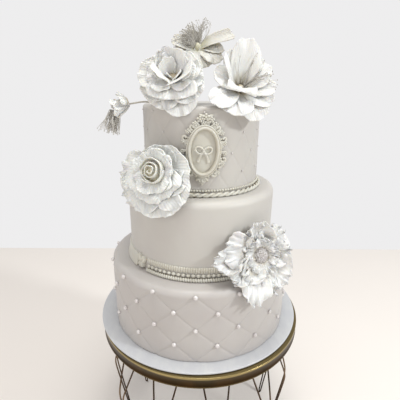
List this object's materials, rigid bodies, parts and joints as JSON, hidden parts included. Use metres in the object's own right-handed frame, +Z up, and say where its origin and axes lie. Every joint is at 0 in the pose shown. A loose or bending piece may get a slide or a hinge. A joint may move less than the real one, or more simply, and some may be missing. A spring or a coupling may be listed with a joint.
{
  "type": "tiered wedding cake",
  "caption": "Round stacked wedding cake in smooth ivory icing, with piped borders, an oval cameo and sugar flowers, on a cake board and a wire-legged metal stand.",
  "frame": {"origin": "on the floor, on the vertical axis of the stand, under the middle of its top disc", "axes": "+Z up, -Y towards the front of the cake, where the cameo and the flowers are, +X to the right as seen from the front"},
  "size_m": [0.3072, 0.3094, 0.6443],
  "materials": {
    "fondant": "satin",
    "moulding": "satin",
    "petal": "satin",
    "flower_wire": "matte",
    "board": "satin",
    "stand_metal": "satin"
  },
  "bodies": {
    "root": {"tier_bottom": "fondant", "tier_middle": "fondant", "tier_top": "fondant", "border_ribbed_band": "moulding", "border_rope_middle": "moulding", "border_rope_top": "moulding", "border_plain_ribbon": "moulding", "border_rosette": "moulding", "cameo_frame": "moulding", "cameo_plaque": "moulding", "cameo_bow": "moulding", "flower_peony": "petal", "flower_magnolia": "petal", "flower_lily": "petal", "flower_lily_stem": "flower_wire", "flower_bud": "petal", "flower_bud_stem": "flower_wire", "flower_rose": "petal", "flower_bloom": "petal", "cake_board": "board", "stand_top": "stand_metal", "stand_hairpin_01": "stand_metal", "stand_hairpin_02": "stand_metal", "stand_hairpin_03": "stand_metal", "stand_hairpin_04": "stand_metal", "stand_hairpin_05": "stand_metal", "stand_hairpin_06": "stand_metal", "stand_hairpin_07": "stand_metal", "stand_hairpin_08": "stand_metal", "stand_hairpin_09": "stand_metal", "stand_hairpin_10": "stand_metal", "stand_hairpin_11": "stand_metal"}
  },
  "joints": []
}
